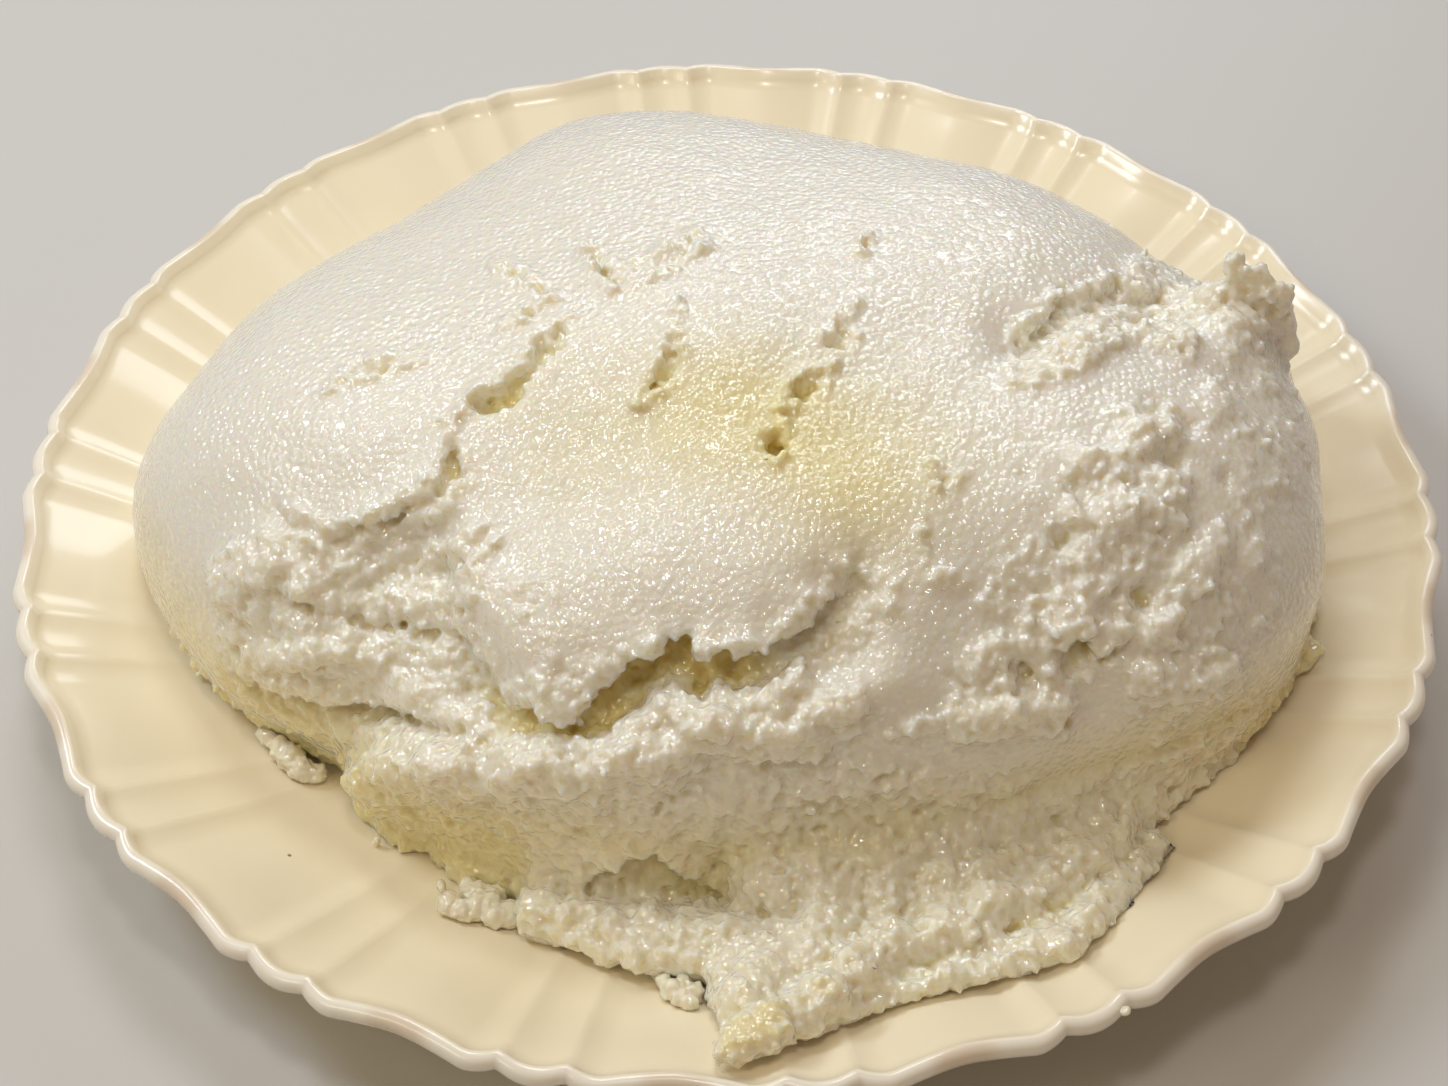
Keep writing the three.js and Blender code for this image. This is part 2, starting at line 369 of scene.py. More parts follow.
def plate_profile():
    """Radius and height round the plate's wall, from the middle of the well over the lip to the middle below."""
    rings, heights = (np.array(column, float) for column in zip(*EATING_SURFACE))
    inner_r = np.concatenate([np.linspace(0, LEVEL_WELL, WELL_RINGS), np.linspace(*INNER_SLOPE, INNER_RINGS)])
    inner_z = np.interp(inner_r, rings, heights)
    for _ in range(SOFTENINGS):
        inner_z[1:-1] = (inner_z[:-2] + 2 * inner_z[1:-1] + inner_z[2:]) / 4
    lip = [
        (LIP_MIDDLE[0] + LIP_RADIUS * math.cos(turn), LIP_MIDDLE[1] + LIP_RADIUS * math.sin(turn))
        for turn in np.radians(np.linspace(*LIP_ARC, LIP_RINGS))
    ]
    outer_r = np.linspace(*OUTER_SLOPE, OUTER_RINGS)
    outer_z = np.interp(outer_r - WALL * WALL_LAG, rings, heights) - WALL
    return [*zip(inner_r, inner_z), *lip, *zip(outer_r, outer_z), *FOOT_RING]


def make_plate():
    mesh = bmesh.new()
    wall = [mesh.verts.new((radius * MM, 0, height * MM)) for radius, height in plate_profile()]
    edges = [mesh.edges.new(pair) for pair in zip(wall, wall[1:])]
    bmesh.ops.spin(
        mesh, geom=wall + edges, cent=(0, 0, 0), axis=(0, 0, 1), angle=2 * math.pi,
        steps=PLATE_STEPS, use_merge=True,
    )
    bmesh.ops.remove_doubles(mesh, verts=mesh.verts, dist=WELD * MM)
    bmesh.ops.recalc_face_normals(mesh, faces=mesh.faces)
    plate = new_object("fluted_plate", mesh)
    flute_rim(plate)
    return plate


def flute_rim(plate):
    """Pushes the rim out into lobes, and notes its edge and the dips between lobes for the glaze."""
    points = points_of(plate)
    radius = radius_of(points)
    stands_out = lobe(azimuth_of(points) - FLUTE_TURN)
    bulge = LOBE_DEPTH * stands_out * smoothly(radius, *FLUTED_BAND)
    points[:, :2] *= ((radius + bulge) / np.maximum(radius, 1e-6))[:, None]
    points[:, 2] -= FLUTE_DROP * bulge
    move_points(plate, points)
    edge = smoothly(radius, *GLAZED_EDGE) * (points[:, 2] > EDGE_HEIGHT)
    keep_layer(plate, "rim", edge)
    keep_layer(plate, "dips", DIP_STRENGTH * edge * (1 - smoothly(stands_out, 0.1, 0.4)))


def glaze_material():
    """Cream glaze with fine specks: paler on the rounded rim, and brown where it thins in the rim's dips."""
    material = new_material("fluted_glaze", {"Coat Weight": 0.25, "Coat Roughness": 0.08})
    shader = shader_of(material)
    clouds = add_texture(material, "ShaderNodeTexNoise", {"Scale": 22, "Detail": 3})
    cream = add_ramp(material, clouds.outputs["Fac"], CREAM)
    edged = blend_colours(material, read_layer(material, "rim"), cream, EDGE_CREAM)
    browned = blend_colours(material, read_layer(material, "dips"), edged, DIP_BROWN)
    speckled = blend_colours(material, pick_specks(material), browned, SPECK_BROWN)
    link(material, speckled, shader.inputs["Base Color"])

    wear = add_texture(material, "ShaderNodeTexNoise", {"Scale": 60, "Detail": 4})
    link(material, map_range(material, wear.outputs["Fac"], GLAZE_ROUGHNESS), shader.inputs["Roughness"])
    waves = add_texture(material, "ShaderNodeTexNoise", {"Scale": 55, "Detail": 1})
    add_bump(material, waves.outputs["Fac"], GLAZE_WAVES, "Normal", "Coat Normal")
    return material


def pick_specks(material):
    """1 on a small round speck in some cells, and 0 elsewhere."""
    cells = add_texture(material, "ShaderNodeTexVoronoi", {"Scale": 95})
    red = add_node(material, "ShaderNodeSeparateColor")
    link(material, cells.outputs["Color"], red.inputs["Color"])
    chosen = add_node(material, "ShaderNodeMath", {1: SPECKLESS})
    chosen.operation = "GREATER_THAN"
    link(material, red.outputs["Red"], chosen.inputs[0])
    dot = map_range(material, cells.outputs["Distance"], SPECK_SIZE)
    return join_numbers(material, "MULTIPLY", dot, chosen.outputs["Value"])


# ---------------------------------------------------------------- heap of ugali

# The tears are laid out on a plane that leans back 45 degrees along the torn front.
# A place on it is (across, climb): millimetres along X, and up the lean.
LEAN = math.sqrt(0.5)
FRONT = np.array([0, -LEAN, LEAN])
DOWN_THE_LEAN = np.array([0, -LEAN, -LEAN])

# Edges of torn slabs. Each line is (across, climb, drop below the edge), with the run of the hollow under it.
SHELVES = [
    ([(-75, 15, 0.5), (-70, 12, 1.5), (-66, 10, 2.5), (-61, 12, 3), (-54, 15, 3.2), (-48, 18, 2)], 5),
    ([(-68, 4, 0.8), (-64, 3, 2), (-60, 3, 2.4), (-55, 5, 2), (-49, 6, 2), (-44, 7, 2.4), (-40, 11, 1)], 4),
    ([(-75, 0, 1), (-71, 0, 3), (-68, -1, 1.5), (-63, -1, 2), (-60, -3, 4), (-55, -4, 4.5), (-50, -4, 4),
      (-46, -4, 3), (-43, -5, 1)], 6),
    ([(-84, -13, 0.5), (-80, -14, 1.5), (-75, -16, 2.5), (-70, -17, 3), (-60, -17, 3.5), (-52, -18, 3),
      (-50, -19, 2.5), (-43, -20, 2.5), (-39, -22, 2), (-36, -20, 1.5)], 8),
    ([(-43, -4, 1), (-40, -9, 2.2), (-39, -13, 3), (-36, -16, 3.6), (-32, -17, 4.2), (-28, -19, 4.6),
      (-24, -18, 4.6), (-21, -16, 4.6), (-16, -10, 4.6), (-11, -8, 5), (-10, -10, 5), (-7, -8, 5.2),
      (-3, -10, 5.2), (0, -8, 5), (5, -8, 4.6), (8, -8, 4), (9, -5, 3.6), (13, -2, 3.4), (15, 0, 3),
      (18, 2, 2), (20, 6, 1)], 10),
    ([(5, -27, 0.5), (6, -23, 1.5), (9, -24, 2.5), (12, -24, 2.5), (15, -24, 2), (18, -22, 1)], 4),
    ([(49, 42, 1), (50, 44, 2), (53, 46, 2.5), (57, 49, 3.2), (59, 52, 3.2), (62, 51, 3.5), (65, 53, 4),
      (69, 55, 4), (74, 52, 3.5), (77, 53, 3), (82, 52, 1)], 4.5),
    ([(38, -11, 0.8), (42, -11, 2.5), (46, -9, 3), (48, -8, 3), (50, -11, 3.2), (52, -12, 3), (54, -11, 2)], 5),
    ([(55, -6, 3), (59, -5, 4), (60, -8, 3.5), (61, -9, 3), (63, -6, 2.5), (66, -6, 1)], 6),
    ([(-20, 54, 1.2), (-14, 57, 1.4), (-9, 59, 1.6), (-6, 62, 1.2)], 4),
    ([(-34, -51, 1.5), (-25, -48, 2.5), (-19, -43, 3), (-14, -42, 3), (-8, -44, 2.5), (-3, -47, 2),
      (6, -50, 2), (20, -48, 1.5), (40, -43, 1)], 5),
    ([(69, -7, 1.5), (74, -4, 2), (78, -6, 1)], 4),
]

# Ridges of raised crumb: (across, climb, height), with the half width.
RIDGES = [
    ([(-65, -31, 1), (-61, -29, 2.2), (-56, -26, 2.8), (-49, -25, 3), (-43, -25, 2.8), (-39, -28, 2.2),
      (-36, -26, 2.4), (-32, -24, 3), (-27, -24, 3)], 4.6),
    ([(-25, -27, 2), (-20, -24, 3), (-16, -22, 3.2), (-12, -22, 3.4), (-8, -22, 3), (-6, -24, 1.5)], 4.6),
    ([(-6, -19, 2), (-4, -18, 3), (1, -18, 3), (4, -18, 2.6), (9, -18, 2.6), (13, -17, 2), (20, -15, 1)], 3),
    ([(-84, -11, 1), (-78, -9, 1.6), (-70, -7, 2), (-61, -8, 2), (-56, -11, 2), (-50, -14, 2)], 3.4),
    ([(49, 40, 1), (52, 40, 1.4), (57, 42, 1.8), (60, 44, 2), (64, 47, 2.4), (68, 50, 2), (73, 48, 1.5),
      (80, 45, 1.5)], 2.4),
    ([(20, -4, 1), (14, -8, 1.5), (11, -12, 1.6), (10, -16, 1.5)], 3),
    ([(-74, 5, 2.2), (-79, 2, 2.4), (-84, -1, 2)], 4),
    ([(38, -17, 1), (46, -16, 2), (54, -16, 1.6)], 3),
    ([(69, -11, 1.6), (76, -12, 2), (82, -10, 1.6)], 3),
]

# Clumps of loose crumb standing out of the torn right: (across, climb, height, radius).
CLUMPS = [
    (64, 14, 3, 5), (69, 16, 2, 4), (57, 14, 2, 3.4), (74, 13, 2, 3), (58, 8, 1.8, 3), (78, 5, 2.4, 5), (55, -2, 2, 5),
    (60, 2, 2, 4), (46, -15, 2.2, 3.6), (71, -4, 2, 3.4), (82, 10, 1.6, 4), (88, 8, 1.4, 4), (72, 28, 2.6, 4),
    (67, 26, 2.2, 4), (63, 22, 2, 4), (58, 23, 1.8, 3.4), (74, 19, 1.8, 4), (84, 33, 1.4, 4), (95, 38, 1.2, 4),
    (-70, 3, 2.2, 3), (-64, -6, 2, 3), (-57, -8, 1.6, 3), (-80, -2, 1.6, 4),
]

# Small holes between clumps: (across, climb, depth, radius).
HOLES = [
    (55, 10, 3, 3), (69, 1, 3, 3.2), (56, -10, 3.4, 3), (48, -13, 3, 3.4), (76, -5, 2.6, 2.6), (55, -19, 2.4, 1.6),
    (43, 4, 2.2, 1.4), (52, 2, 2, 2.6), (59, 16, 2.4, 2.2), (72, 32, 1.6, 3), (75, 23, 2, 2.6), (62, 20, 2.2, 2),
    (70, 18, 2, 1.8), (57, 18, 2, 2), (78, 29, 1.6, 2.4), (-22, 27, 1.4, 0.8), (-22, 30, 1.2, 0.8), (8, 26, 5, 2.4),
    (84, 20, 1.4, 2.4), (49, 21, 1.2, 1.6),
    (-71, -2, 2, 1.8), (-47, 21, 3, 2), (-73, 10, 1.2, 2),
]

# Cracks in the skin: (across, climb, half width) along each.
CRACKS = [
    [(-27, 48, 0.1), (-29, 44, 1.3), (-32, 41, 1.5), (-33, 38, 1.1), (-36, 36, 1.7), (-38, 34, 1.8), (-42, 33, 1.2),
     (-46, 30, 0.1)],
    [(-47, 29, 0.1), (-46, 25, 0.9), (-45, 22, 1.5), (-47, 19, 1.1), (-50, 16, 0.1)],
    [(-41, 58, 0.1), (-38, 56, 1), (-36, 55, 0.8), (-34, 54, 0.5), (-32, 52, 0.8), (-30, 51, 0.1)],
    [(-25, 61, 0.1), (-23, 58, 1.1), (-20, 55, 1.4), (-18, 54, 0.1)],
    [(-38, 46, 0.1), (-35, 48, 0.9), (-33, 49, 0.1)],
    [(-9, 49, 0.1), (-9, 45, 0.6), (-9, 41, 1.1), (-11, 38, 1.3), (-12, 36, 1), (-15, 32, 0.1)],
    [(22, 50, 0.1), (19, 47, 0.9), (20, 44, 1.3), (18, 43, 0.9), (16, 44, 0.1)],
    [(25, 63, 0.1), (24, 61, 0.8), (23, 59, 0.1)],
    [(18, 39, 0.1), (15, 37, 0.9), (12, 35, 1.2), (10, 33, 0.9), (8, 31, 0.1)],
    [(8.6, 29, 0.3), (8.2, 27, 1.5), (7.6, 25, 1.6), (8.4, 22.6, 0.1)],
    [(33, 22, 0.1), (35, 19, 1.1), (38, 20, 0.1)],
    [(32, 13, 0.1), (32, 10, 0.6), (32, 7, 0.1)],
    [(54, -17, 0.1), (55, -20, 1), (55, -22, 0.1)],
    [(22, -30, 0.1), (25, -28, 1), (29, -27, 0.1)],
    [(27, -21, 0.1), (31, -20, 0.7), (35, -20, 0.1)],
    [(-68, 35, 0.1), (-63, 38, 1), (-58, 39.6, 0.8), (-52, 40, 0.1)],
    [(32, 4, 0.1), (34, 4, 0.9), (38, 3, 0.1)],
]

# Zones of bare crumb: (across, climb, half width, half height, strength).
CRUMB_ZONES = [
    (-60, -6, 20, 13, 1), (-52, 2, 14, 9, 0.8), (-78, -6, 12, 12, 0.8), (-70, 8, 10, 6, 0.6),
    (64, 14, 16, 16, 0.45), (71, 29, 14, 6, 0.4), (52, 2, 14, 12, 0.4), (73, -4, 14, 12, 0.4),
    (92, 30, 14, 26, 0.3), (84, 0, 14, 22, 0.3), (-42, -25, 26, 6, 1), (0, -20, 26, 6, 0.9),
    (-15, -14, 26, 7, 0.5), (46, -13, 12, 8, 0.8), (-50, -34, 22, 9, 0.5), (10, -36, 62, 13, 0.6),
    (66, 48, 20, 6, 0.6), (-30, -1, 9, 7, 0.3), (78, 57, 8, 4, 0.7), (92, 53, 13, 9, 1), (80, -20, 20, 12, 0.35),
]

# Chains of lumps: (x, y, z, radius) along each. The foot fills the corner between the heap and its skirt.
FOOT = [
    [(8, -86, 21, 6), (20, -85, 22, 6), (30, -82, 22, 6), (40, -78, 22, 6), (50, -72, 22, 6), (60, -66, 21, 5.5),
     (70, -60, 19, 5), (78, -52, 17, 4)],
]
SKIRT_LUMPS = [
    [(2, -113, 22.5, 4), (6, -107, 21.5, 4.5), (14, -100, 20.5, 4.8), (21, -92, 20, 4.8), (28, -90, 20, 4.8),
     (35, -88, 20, 4.8), (42, -85, 19.5, 4.6), (50, -81, 18.5, 4.4), (57, -77.5, 18, 4), (62, -75, 17.5, 3.8),
     (68, -73, 17, 3.2)],
    [(0, -123, 26.5, 2.6), (6, -119, 25.5, 3.2), (14, -113.5, 24, 3.4), (20, -107, 22.5, 3.4), (26, -100, 21, 3.4),
     (33, -98.5, 21, 3.2), (39, -97.5, 21.2, 3.4), (43, -92, 21, 3.4), (48, -91, 20.5, 3.2), (55, -85, 20, 3.2),
     (61, -81, 19.5, 3), (66, -77, 18.5, 2.6)],
    [(-31, -90, 15, 3.6), (-25, -91.5, 15.6, 3.8), (-19, -94, 16.5, 3.8), (-13, -96, 17, 4), (-7, -97, 17.6, 4),
     (-1, -99, 18.6, 4.4), (5, -101, 20, 4.6)],
    [(-25, -94.5, 16, 2), (-20, -96.5, 17, 2.2), (-14, -99, 18, 2.4), (-9, -100.5, 18.6, 2.2), (-4, -102, 19, 2.6)],
    [(24, -108, 19.4, 2), (32, -102.5, 18.4, 2.2), (40, -101, 18.4, 2.4), (49, -101, 20, 2.6), (55, -99.5, 20.4, 2.6),
     (59, -95, 19.4, 2.6), (63, -89, 18, 2.6), (68, -82, 16.5, 2.4), (72, -75, 15.2, 2.4)],
]
BASE_LUMPS = [
    [(-62, -64, 12, 2), (-56, -69, 11.6, 2.4), (-53, -71, 11.4, 1.8)],
    [(-49, -73.5, 11.2, 2), (-46, -76, 11, 2.2), (-40, -80, 11.4, 2.2), (-37, -82, 11.4, 2)],
    [(74, -67, 15.4, 2.2), (78, -62.5, 15.4, 2.2), (83, -57.5, 15.8, 2.2), (87, -54, 16.4, 2.2), (91, -47.5, 17, 2.2),
     (96, -39, 17.6, 2), (100, -34, 18.4, 2.2), (103, -29, 19, 2), (106, -22, 20, 1.8)],
    [(86, -57, 16.4, 1.6), (91, -50.5, 16.6, 1.6), (96, -43, 17, 1.5), (101, -38, 18, 1.8), (104.5, -33, 18.8, 1.8)],
]
SHOULDER_LUMPS = [
    [(83, 9, 60, 3), (86, 10, 61, 3.2), (90, 11, 61, 3.4), (95, 11, 59.5, 3.4), (99, 10, 57, 3.2), (102, 8, 54, 2.8)],
    [(86.5, 10, 62, 2), (86, 10, 65.5, 1.4)],
    [(91, 11, 62, 2.8), (91.2, 11.5, 66, 2.4), (90.5, 11.5, 70, 1.7), (90.2, 11.5, 72.5, 1.1)],
    [(94, 11, 61, 2.6), (94.6, 11, 65, 2), (94.8, 11, 68.5, 1.3)],
    [(98.4, 10.5, 58.5, 2.6), (98.6, 10.5, 62, 2), (99, 10, 65, 1.2)],
]

# Outer edge of the skirt's upper layer, in plan (x, y). Beyond it only a thin layer lies on the plate.
SKIRT_EDGE = [
    (-36, -94, 0), (-22, -97, 0), (-12, -100, 0), (-4, -101.5, 0), (-3, -127, 0), (7, -122, 0), (16, -116, 0),
    (22, -109, 0), (27, -102, 0), (39, -100, 0), (43, -95, 0), (48, -94, 0), (56, -87, 0), (61, -83, 0),
    (66, -78, 0), (76, -66, 0),
]
THIN_LAYER = 3.4

OVERHANG = 0.5  # how far an edge hangs out, as a share of the drop below it
RIDGE_SHARE = 1.25  # how much of their listed height the ridges get
CLUMP_SHARE = 0.65  # the same for the clumps
HOLE_SHARE = 0.8  # and for the depth of the holes
POCKET = 1.2  # how much wider than their lines the cracks gape
FADE = 4  # how far past its ends a line fades out
BEAD_SHARE = 0.75  # how crowded the beads of bare crumb are
BEAD_SCATTER = 0.3
LUMP_SPACING = 0.7  # between lumps along a chain, in radii
LUMP_JITTER = 0.22
LUMP_SIZES = (0.8, 1.05)  # least and greatest share of the listed radius
BALL_STRETCH = (0.8, 1.25)
BEAD_FINENESS = 2
LUMP_FINENESS = 3

# How far apart the noise of two seeds lies, and a knob's radius as a share of its size.
NOISE_STEP = 7.31
KNOB_STEP = 5.17
KNOB_RADIUS = 0.75

# Azimuths in degrees, where -90 is straight in front, with how far out the skirt starts and how high it goes.
SKIRT_AZIMUTHS = (-112, -32)
SKIRT_REACH = 88
SKIRT_TOP = 27
FRINGE_REACH = 93
HEM_AZIMUTHS = (-50, -4)
RAGGED_AZIMUTHS = (-137, -110)
FRONT_AZIMUTHS = (-165, -5)

# Voxel sizes of the heap's stages, from the smooth outline to the melted crumb, and of a fallen scrap.
OUTLINE_VOXEL = 1.3
CARVING_VOXEL = 0.8
LUMPY_VOXEL = 0.7
CRUMB_VOXEL = 0.44
SCRAP_VOXEL = 0.3
HEAP_CLEARANCE = 0.3  # least height above the plate
SCRAP_CLEARANCE = 0.25
CAD_WELD = 0.004
OUTLINE_SMOOTHING = 24
HEAP_TRIANGLES = 195000
PLAIN_FAVOUR = 1.5  # how strongly the thinning prefers plain places
RECESS_ROUNDS = 40

# Skin and crumb: near-white to yellow maize tones, with painted shade and light from the layer. It is yellower and
# darker, down to yellow-brown, in hollows, seams and low in front, and paler where it stands out.
MAIZE_AND_PAINTED_SHADE = [
    (0, (0.89, 0.86, 0.78, 1)), (0.35, (0.83, 0.76, 0.49, 1)), (0.7, (0.82, 0.71, 0.33, 1)),
    (1, (0.73, 0.57, 0.17, 1)),
]
HEAP_GLOW = 3.5  # how deep light wanders
SCRAP_GLOW = 1
SCRAP_WARMTH = 0.12
GRAIN_RELIEF = 0.12
GLINT_RELIEF = 0.34


def rough(points, size, seed):
    """Smooth noise from -1 to 1 whose swells are about size across."""
    return np.array([noise.noise(place) for place in (points / size + seed * NOISE_STEP).tolist()])


def crumb(points, size, seed):
    """Packed round knobs about size across: 1 on a knob's top, 0 in the seams between knobs."""
    places = (points / size + seed * KNOB_STEP).tolist()
    away = np.array([noise.voronoi(place)[0][0] for place in places])
    return np.clip(1 - (away / KNOB_RADIUS) ** 2, 0, 1)


def across_and_climb(points):
    return points[:, 0], (points[:, 1] + points[:, 2]) * LEAN


def follow(line, across, climb):
    """Distance from an open line, positive above it, the way past its ends, and the line's third value there."""
    nearest = np.full(len(across), 1e9)
    side = np.ones(len(across))
    past = np.zeros(len(across))
    value = np.zeros(len(across))
    for start, end in zip(np.array(line[:-1], float), np.array(line[1:], float)):
        run = (end - start)[:2]
        offset = np.stack([across, climb], 1) - start[:2]
        share = offset @ run / (run @ run)
        held = np.clip(share, 0, 1)
        distance = np.linalg.norm(offset - held[:, None] * run, axis=1)
        closer = distance < nearest
        nearest = np.where(closer, distance, nearest)
        side = np.where(closer, np.sign(run[0] * offset[:, 1] - run[1] * offset[:, 0]), side)
        past = np.where(closer, np.abs(share - held) * np.linalg.norm(run), past)
        value = np.where(closer, start[2] + held * (end[2] - start[2]), value)
    return nearest * side, past, value


def skirt_share(points):
    inside = between(azimuth_of(points), *SKIRT_AZIMUTHS, 2)
    low = 1 - smoothly(points[:, 2], SKIRT_TOP, SKIRT_TOP + 3)
    return inside * low * smoothly(radius_of(points), SKIRT_REACH - 3, SKIRT_REACH + 2)


def torn_share(points, facing):
    """How torn the surface is, from 0 on the smooth skin to 1 on bare crumb."""
    torn = np.zeros(len(points))
    towards_front = facing > -0.35
    torn[towards_front] = torn_front(points[towards_front]) * smoothly(facing[towards_front], -0.35, 0.05)
    low_edge = 1 - smoothly(height_above_plate(points), 2, 8)
    front_edge = between(azimuth_of(points), *FRONT_AZIMUTHS, 8)
    return np.maximum(np.maximum(torn, skirt_share(points)), 0.8 * low_edge * front_edge)


def torn_front(points):
    """How torn the front's tears, cracks and zones of crumb make each point."""
    across, climb = across_and_climb(points)
    wander = 2.5 * rough(points, 9, 1) + 1.2 * rough(points, 3, 2)
    torn = np.zeros(len(points))
    for line, run in SHELVES:
        distance, past, drop = follow(line, across, climb)
        above = 1 - smoothly(distance, 1, 3.5)
        below = 0.75 - 0.75 * smoothly(-distance, run * 0.6, run * 1.3)
        near = np.where(distance > 0, above, below)
        torn = np.maximum(torn, near * (1 - smoothly(past, 0.5, FADE)) * np.minimum(1, drop / 2))
    for line, half in RIDGES:
        distance, past, _ = follow(line, across, climb)
        near = 1 - smoothly(np.abs(distance + half * 0.6), half * 0.8, half * 1.8)
        torn = np.maximum(torn, near * (1 - smoothly(past, 0.5, FADE)))
    for line in CRACKS:
        distance, _, half = follow(line, across, climb)
        torn = np.maximum(torn, 0.9 - 0.9 * smoothly(np.abs(distance), half, half + 1.6))
    for middle_across, middle_climb, half_across, half_climb, strength in CRUMB_ZONES:
        away = np.hypot((across - middle_across + wander) / half_across, (climb - middle_climb + wander) / half_climb)
        torn = np.maximum(torn, strength * (1 - smoothly(away, 0.5, 1.15)))
    return torn


def carve_tears(heap):
    """Cuts the shelves, cracks and holes into the smooth heap, and raises the ridges and clumps of crumb."""
    points, normals = points_of(heap), outward(heap)
    place = across_and_climb(points)
    facing = smoothly(normals @ FRONT, -0.3, 0.05)
    jag = 1.2 * rough(points, 5, 3) + 0.9 * rough(points, 2.2, 4)
    nibbles = 0.5 * rough(points, 1.8, 21)
    rise = np.zeros(len(points))  # outwards, and the slide down the lean: each step adds to them in place
    slide = np.zeros(len(points))
    cut_shelves(place, jag, nibbles, rise, slide)
    raise_ridges(place, jag, rise)
    dot_with_clumps_and_holes(place, jag, rise)
    open_cracks(place, jag, nibbles, rise, slide)
    points += (rise * facing)[:, None] * normals + (slide * facing)[:, None] * DOWN_THE_LEAN
    thin_skirt(points)
    move_points(heap, points)


def cut_shelves(place, jag, nibbles, rise, slide):
    """Sinks a hollow below each torn edge, lifts the edge, and slides it out over the hollow."""
    for line, run in SHELVES:
        distance, past, drop = follow(line, *place)
        distance = distance + jag + nibbles - OVERHANG * drop
        hold = 1 - smoothly(past, 0, FADE)
        reach = run * (0.6 + 0.08 * drop)
        below = smoothly(-distance, -0.3, 0.7) * (1 - smoothly(-distance, reach * 0.5, reach))
        lip = hump(distance - 1.4, 1.8) * (distance > -1)
        rise += hold * (0.25 * drop * lip - drop * below)
        slide += hold * OVERHANG * drop * hump(distance, 2.4) * smoothly(distance, -0.6, 0.3)


def raise_ridges(place, jag, rise):
    for line, half in RIDGES:
        distance, past, height = follow(line, *place)
        distance = distance + jag
        crest = smoothly(-distance, -1, 0.8) * hump(np.maximum(0, -distance - 0.8), 1.6 * half)
        rise += RIDGE_SHARE * (1 - smoothly(past, 0, FADE)) * height * crest


def dot_with_clumps_and_holes(place, jag, rise):
    across, climb = place
    for middle_across, middle_climb, height, radius in CLUMPS:
        away = np.hypot(across - middle_across, climb - middle_climb) + jag
        rise += CLUMP_SHARE * height * (1 - smoothly(away, radius * 0.45, radius))
    for middle_across, middle_climb, depth, radius in HOLES:
        away = np.hypot(across - middle_across, climb - middle_climb) + 0.7 * jag
        rise -= HOLE_SHARE * depth * (1 - smoothly(away, radius * 0.3, radius * 1.1))


def open_cracks(place, jag, nibbles, rise, slide):
    """Sinks a ragged slit along each crack, with a raised edge, and lets its upper side hang over."""
    for line in CRACKS:
        distance, past, half = follow(line, *place)
        half = POCKET * half
        side = distance + 0.3 * jag + 1.6 * nibbles
        inside = 1 - smoothly(np.abs(side), half * 0.75, half * 1.15 + 0.2)
        rise -= (1.5 + 1.1 * half) * inside * (1 - smoothly(past, 0, 1))
        rise += 0.6 * hump(np.abs(side) - half * 1.5, half) * (1 - smoothly(past, 0, 2))
        slide += half * 0.45 * hump(side - half * 1.3, half) * (1 - smoothly(past, 0, 1))


def thin_skirt(points):
    """Lowers the skirt beyond its upper layer's edge to a thin layer on the plate."""
    distance, past, _ = follow(SKIRT_EDGE, points[:, 0], points[:, 1])
    outside = smoothly(-distance, -1.5, 0.5) * (past < 3) * skirt_share(points)
    thin = THIN_LAYER + 1.2 * rough(points, 7, 24)
    lowered = np.minimum(points[:, 2], points[:, 2] - height_above_plate(points) + thin)
    points[:, 2] += outside * (lowered - points[:, 2])


def shingles(climb, pitch, wander):
    """Overlapping ragged layers down a slope: rises from 0 to 1 going down, then drops at the layer's lower edge."""
    step = climb / pitch + wander
    share = 1 - (step - np.floor(step))
    return share * (1 - smoothly(share, 0.86, 1))


def swell_crumb(heap):
    """Layers, lumps and knobs over the torn zones, and gentle swells over the skin."""
    points, normals = points_of(heap), outward(heap)
    torn = torn_share(points, normals @ FRONT)
    skirt = skirt_share(points)
    across, climb = across_and_climb(points)
    wander = 0.9 * rough(points, 16, 18) + 0.25 * rough(points, 5, 19) + 0.05 * rough(points, 2, 20)
    layers = shingles(climb, 7, wander + across / 60) - 0.4
    lumps = 0.7 * rough(points, 6, 5) + 0.5 * (crumb(points, 6.5, 6) - 0.4)
    knobs = 0.3 * (crumb(points, 2.6, 7) - 0.35)
    swells = 0.5 * rough(points, 16, 8) + 0.22 * rough(points, 6, 9)
    rise = torn * ((0.5 + 0.5 * skirt) * lumps + knobs + 0.7 * (1 - skirt) * layers) + (1 - torn) * swells
    points += rise[:, None] * normals
    move_points(heap, points)


def torn_edges(place):
    """How close each place lies to the lip of a torn slab or to a ridge."""
    edge = np.zeros(len(place[0]))
    for line, _ in SHELVES:
        distance, past, drop = follow(line, *place)
        edge = np.maximum(edge, hump(distance - 0.3, 0.9) * (past < 1) * np.minimum(1, drop / 2.5))
    for line, _ in RIDGES:
        distance, past, _ = follow(line, *place)
        edge = np.maximum(edge, 0.5 * hump(distance + 0.8, 1.4) * (past < 1))
    return edge


def pick_spots(chances, luck):
    return np.nonzero(luck.random(len(chances)) < chances)[0]


